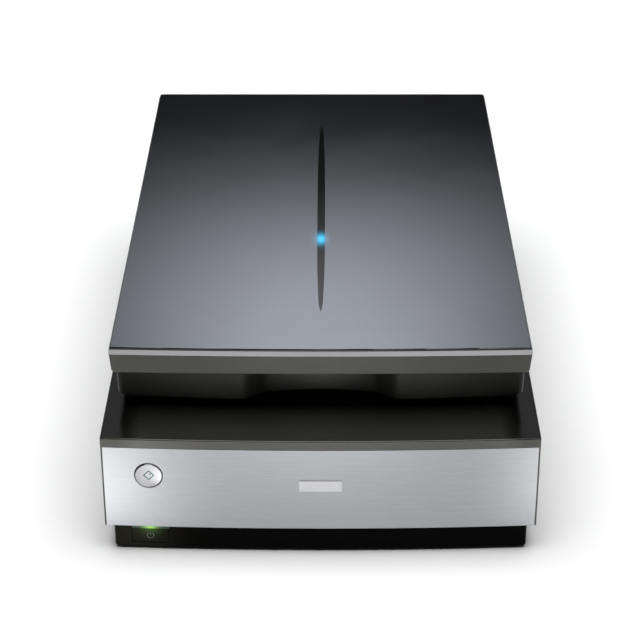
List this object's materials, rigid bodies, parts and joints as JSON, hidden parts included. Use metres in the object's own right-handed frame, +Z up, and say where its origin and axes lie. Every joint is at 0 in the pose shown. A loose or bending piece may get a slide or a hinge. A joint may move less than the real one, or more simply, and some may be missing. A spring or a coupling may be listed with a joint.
{
  "type": "flatbed scanner",
  "caption": "Desktop flatbed photo scanner: hinged lid with a film light, glass platen, and a belt-driven scanning head on a guide rod.",
  "frame": {"origin": "on the table, under the centre of the scanner's bounding box", "axes": "+X right as seen from the front, +Y to the rear (the long way), +Z up; the lid is closed"},
  "size_m": [0.308, 0.503, 0.153],
  "materials": {
    "black_plastic": "fine-textured black moulding",
    "gloss_black": "glossy black plinth",
    "case_grey": "dark warm grey, satin",
    "lid_grey": "dark grey metallic paint, satin",
    "shell_grey": "mid-grey metallic paint, satin",
    "gunmetal": "brushed and anodised gunmetal sheet",
    "silver_panel": "silver, fine horizontal brushing",
    "badge_silver": "plain polished plate",
    "smoked_window": "smoked clear plastic",
    "blue_light": "lit blue",
    "green_light": "lit green",
    "button_silver": "silver, satin",
    "platen_glass": "clear float glass",
    "diffuser": "milky light diffuser",
    "mat_white": "white backing foam sheet",
    "white_strip": "matt white reference strip",
    "rubber_black": "soft black rubber",
    "cable_black": "flexible black jacket",
    "belt_black": "black belt",
    "steel": "plain steel",
    "zinc": "zinc-plated steel",
    "bronze": "sintered bronze",
    "white_nylon": "natural nylon",
    "board_green": "green circuit board",
    "motor_steel": "pressed steel can",
    "lamp_white": "white light bar",
    "mirror_face": "front-silvered mirror",
    "lens_barrel": "black-anodised barrel",
    "flex_grey": "flat ribbon cable",
    "socket_black": "black connector plastic"
  },
  "bodies": {
    "base": {"base_lower_case": "gloss_black", "base_upper_case": "case_grey", "front_panel": "silver_panel", "badge_plate": "badge_silver", "rear_port_plate": "black_plastic", "rubber_feet": "rubber_black", "case_screws": "steel", "platen_glass": "platen_glass", "platen_frame": "black_plastic", "calibration_strip": "white_strip", "power_light_bar": "green_light", "button_board": "board_green", "guide_rod": "steel", "guide_rail": "white_nylon", "motor_bracket": "zinc", "head_motor": "motor_steel", "idler_bracket": "zinc", "timing_belt": "belt_black", "main_board": "board_green", "power_socket": "socket_black", "data_socket": "socket_black", "cover_cable": "cable_black", "head_flex_cable": "flex_grey"},
    "scan_button": {"scan_button": "button_silver"},
    "power_button": {"power_button": "gloss_black"},
    "transport_lock": {"transport_lock": "black_plastic"},
    "scanning_head": {"head_housing": "black_plastic", "head_cover": "black_plastic", "scan_lamps": "lamp_white", "scan_mirrors": "mirror_face", "sensor_board": "board_green", "rod_bushes": "bronze"},
    "lens_changer": {"lens_block": "black_plastic", "lens_barrels": "lens_barrel"},
    "head_drive_pulley": {"drive_pulley": "white_nylon"},
    "head_idler_pulley": {"idler_pulley": "white_nylon"},
    "head_motor_pinion": {"motor_pinion": "white_nylon"},
    "hinge_posts": {"hinge_posts": "black_plastic", "hinge_springs": "steel"},
    "lid": {"lid_cover": "lid_grey", "lid_top_panel": "gunmetal", "indicator_window": "smoked_window", "lid_lower_shell": "shell_grey", "lid_inner_frame": "black_plastic", "light_window": "diffuser", "lid_bumpers": "rubber_black", "lid_screws": "steel", "cover_cable_boot": "cable_black", "hinge_arms": "zinc", "hinge_pins": "steel", "lamp_guide_rod": "steel", "lamp_motor": "motor_steel", "lamp_belt": "belt_black"},
    "film_light": {"lamp_carriage": "black_plastic", "film_lamp": "lamp_white", "position_light": "blue_light"},
    "film_drive_pulley": {"lamp_drive_pulley": "white_nylon"},
    "film_idler_pulley": {"lamp_idler_pulley": "white_nylon"},
    "mat": {"mat_carrier": "black_plastic", "document_mat": "mat_white"}
  },
  "joints": [
    {"name": "lid_lift", "type": "slide", "parent": "base", "child": "hinge_posts", "axis": [0, 0, 1], "range_m": [0, 0.025]},
    {"name": "lid_hinge", "type": "hinge", "parent": "hinge_posts", "child": "lid", "pos_m": [0, 0.229, 0.116], "axis": [-1, 0, 0], "range_deg": [0, 85]},
    {"name": "mat_slide", "type": "slide", "parent": "lid", "child": "mat", "axis": [0, -1, 0], "range_m": [0, 0.41]},
    {"name": "film_light_slide", "type": "slide", "parent": "lid", "child": "film_light", "axis": [0, 1, 0], "range_m": [-0.105, 0.17]},
    {"name": "film_drive_turn", "type": "hinge", "parent": "lid", "child": "film_drive_pulley", "pos_m": [-0.112, 0.184, 0.1315], "axis": [0, 0, 1], "continuous": true},
    {"name": "film_idler_turn", "type": "hinge", "parent": "lid", "child": "film_idler_pulley", "pos_m": [-0.112, -0.18, 0.1315], "axis": [0, 0, 1], "continuous": true},
    {"name": "head_slide", "type": "slide", "parent": "base", "child": "scanning_head", "axis": [0, 1, 0], "range_m": [-0.117, 0.198]},
    {"name": "lens_slide", "type": "slide", "parent": "scanning_head", "child": "lens_changer", "axis": [-1, 0, 0], "range_m": [0, 0.036]},
    {"name": "head_drive_turn", "type": "hinge", "parent": "base", "child": "head_drive_pulley", "pos_m": [-0.0935, 0.212, 0.017], "axis": [0, 0, 1], "continuous": true},
    {"name": "head_idler_turn", "type": "hinge", "parent": "base", "child": "head_idler_pulley", "pos_m": [-0.0935, -0.212, 0.017], "axis": [0, 0, 1], "continuous": true},
    {"name": "head_pinion_turn", "type": "hinge", "parent": "base", "child": "head_motor_pinion", "pos_m": [-0.0695, 0.212, 0.0095], "axis": [0, 0, 1], "continuous": true},
    {"name": "scan_press", "type": "slide", "parent": "base", "child": "scan_button", "axis": [0, 1, 0], "range_m": [0, 0.0012], "stiffness_N_per_m": 400},
    {"name": "power_press", "type": "slide", "parent": "base", "child": "power_button", "axis": [0, 1, 0], "range_m": [0, 0.001], "stiffness_N_per_m": 400},
    {"name": "lock_turn", "type": "hinge", "parent": "base", "child": "transport_lock", "pos_m": [0.075, 0.22, 0.04], "axis": [0, -1, 0], "range_deg": [0, 90]}
  ],
  "couplings": [
    {"joint": "head_drive_turn", "follows": "head_slide", "rad_per_m": -153.85},
    {"joint": "head_idler_turn", "follows": "head_slide", "rad_per_m": -153.85},
    {"joint": "head_pinion_turn", "follows": "head_slide", "rad_per_m": 461.54},
    {"joint": "film_drive_turn", "follows": "film_light_slide", "rad_per_m": -153.85},
    {"joint": "film_idler_turn", "follows": "film_light_slide", "rad_per_m": -153.85}
  ]
}
